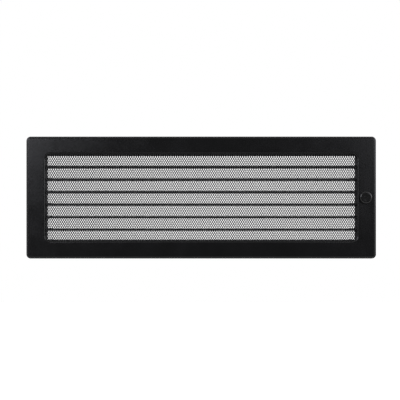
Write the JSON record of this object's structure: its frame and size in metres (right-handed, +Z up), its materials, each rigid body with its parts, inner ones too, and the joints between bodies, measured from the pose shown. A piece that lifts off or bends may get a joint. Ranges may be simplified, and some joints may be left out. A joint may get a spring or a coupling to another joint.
{
  "type": "louvred air grille",
  "caption": "Black wall air grille with an expanded-metal screen and a shutter of linked slats worked by a knob, held by springs in a wall frame.",
  "frame": {"origin": "in the wall's face, at the middle of the wall opening", "axes": "+X along the grille towards the knob's side seen from the front, +Y into the wall, +Z up"},
  "size_m": [0.49, 0.0654, 0.171],
  "materials": {
    "frame_powder_coat": "black satin powder coat, fine texture",
    "screen_powder_coat": "black powder coat on expanded steel",
    "cassette_powder_coat": "black powder coat",
    "slat_powder_coat": "black powder coat",
    "cap_plastic": "black moulded nylon",
    "linkage_steel": "zinc-plated steel",
    "zinc_fasteners": "zinc-plated steel",
    "rivet_aluminium": "plain",
    "spring_steel": "bare spring steel",
    "bush_plastic": "natural nylon",
    "knob_plastic": "black moulded plastic, satin",
    "galvanised_sheet": "galvanised, faint spangle"
  },
  "bodies": {
    "wall_frame": {"wall_frame_top": "galvanised_sheet", "wall_frame_bottom": "galvanised_sheet", "wall_frame_left": "galvanised_sheet", "wall_frame_right": "galvanised_sheet", "wall_frame_rivets": "rivet_aluminium"},
    "front_unit": {"front_frame": "frame_powder_coat", "mesh_screen": "screen_powder_coat", "cassette_top_rail": "cassette_powder_coat", "cassette_bottom_rail": "cassette_powder_coat", "cassette_left_side": "cassette_powder_coat", "cassette_right_side": "cassette_powder_coat", "cassette_rivets": "rivet_aluminium", "cassette_standoffs": "zinc_fasteners", "cassette_screws": "zinc_fasteners", "spring_clip_top_left": "spring_steel", "spring_clip_top_right": "spring_steel", "spring_clip_bottom_left": "spring_steel", "spring_clip_bottom_right": "spring_steel", "spring_clip_rivets": "rivet_aluminium", "knob_bush": "bush_plastic"},
    "slat_1": {"slat_1": "slat_powder_coat", "slat_1_left_cap": "cap_plastic", "slat_1_right_cap": "cap_plastic", "slat_1_crank": "linkage_steel"},
    "slat_2": {"slat_2": "slat_powder_coat", "slat_2_left_cap": "cap_plastic", "slat_2_right_cap": "cap_plastic", "slat_2_crank": "linkage_steel"},
    "slat_3": {"slat_3": "slat_powder_coat", "slat_3_left_cap": "cap_plastic", "slat_3_right_cap": "cap_plastic", "slat_3_crank": "linkage_steel"},
    "slat_4": {"slat_4": "slat_powder_coat", "slat_4_left_cap": "cap_plastic", "slat_4_right_cap": "cap_plastic", "slat_4_crank": "linkage_steel"},
    "slat_5": {"slat_5": "slat_powder_coat", "slat_5_left_cap": "cap_plastic", "slat_5_right_cap": "cap_plastic", "slat_5_crank": "linkage_steel"},
    "slat_6": {"slat_6": "slat_powder_coat", "slat_6_left_cap": "cap_plastic", "slat_6_right_cap": "cap_plastic", "slat_6_crank": "linkage_steel"},
    "link_bar": {"link_bar": "linkage_steel"},
    "knob": {"knob_cap": "knob_plastic", "knob_shaft": "linkage_steel", "knob_washer": "spring_steel", "knob_crank": "linkage_steel", "knob_clip": "spring_steel"}
  },
  "joints": [
    {"name": "grille_pull", "type": "slide", "parent": "wall_frame", "child": "front_unit", "axis": [0, -1, 0], "range_m": [0, 0.07]},
    {"name": "slat_1_pivot", "type": "hinge", "parent": "front_unit", "child": "slat_1", "pos_m": [0, 0.007, 0.04325], "axis": [1, 0, 0], "range_deg": [0, 78]},
    {"name": "slat_2_pivot", "type": "hinge", "parent": "front_unit", "child": "slat_2", "pos_m": [0, 0.007, 0.02555], "axis": [1, 0, 0], "range_deg": [0, 78]},
    {"name": "slat_3_pivot", "type": "hinge", "parent": "front_unit", "child": "slat_3", "pos_m": [0, 0.007, 0.00785], "axis": [1, 0, 0], "range_deg": [0, 78]},
    {"name": "slat_4_pivot", "type": "hinge", "parent": "front_unit", "child": "slat_4", "pos_m": [0, 0.007, -0.00985], "axis": [1, 0, 0], "range_deg": [0, 78]},
    {"name": "slat_5_pivot", "type": "hinge", "parent": "front_unit", "child": "slat_5", "pos_m": [0, 0.007, -0.02755], "axis": [1, 0, 0], "range_deg": [0, 78]},
    {"name": "slat_6_pivot", "type": "hinge", "parent": "front_unit", "child": "slat_6", "pos_m": [0, 0.007, -0.04525], "axis": [1, 0, 0], "range_deg": [0, 78]},
    {"name": "link_bar_pivot", "type": "hinge", "parent": "slat_3", "child": "link_bar", "pos_m": [0.2217, 0.002, 0.00785], "axis": [1, 0, 0], "range_deg": [-78, 0]},
    {"name": "knob_turn", "type": "hinge", "parent": "front_unit", "child": "knob", "pos_m": [0.2297, -0.009, 0], "axis": [0, -1, 0], "range_deg": [0, 78]}
  ],
  "couplings": [
    {"joint": "slat_1_pivot", "follows": "slat_3_pivot", "ratio": 1},
    {"joint": "slat_2_pivot", "follows": "slat_3_pivot", "ratio": 1},
    {"joint": "slat_4_pivot", "follows": "slat_3_pivot", "ratio": 1},
    {"joint": "slat_5_pivot", "follows": "slat_3_pivot", "ratio": 1},
    {"joint": "slat_6_pivot", "follows": "slat_3_pivot", "ratio": 1},
    {"joint": "link_bar_pivot", "follows": "slat_3_pivot", "ratio": -1},
    {"joint": "knob_turn", "follows": "slat_3_pivot", "ratio": 1}
  ]
}
